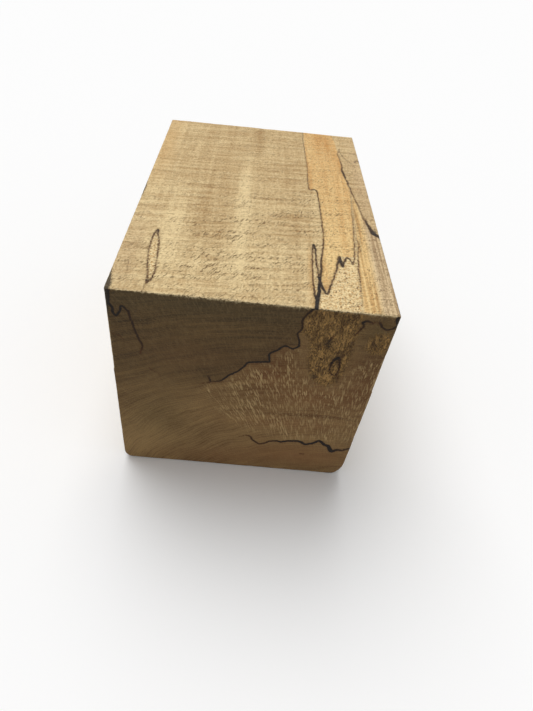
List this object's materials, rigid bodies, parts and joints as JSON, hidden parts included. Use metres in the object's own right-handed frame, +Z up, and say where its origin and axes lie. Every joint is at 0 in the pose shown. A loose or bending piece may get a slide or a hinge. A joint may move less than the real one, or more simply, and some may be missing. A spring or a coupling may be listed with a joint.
{
  "type": "spalted hardwood block",
  "caption": "Hand-sawn rectangular block of spalted hardwood with a rounded lower edge, used as a turning or carving blank.",
  "frame": {"origin": "middle of the footprint, on the surface the block stands on", "axes": "+Z up, +Y along the grain away from the squared end-grain face, +X to the right seen from that face"},
  "size_m": [0.101, 0.1516, 0.0987],
  "materials": {
    "spalted_wood": "raw sawn"
  },
  "bodies": {
    "root": {"wooden_block": "spalted_wood"}
  },
  "joints": []
}
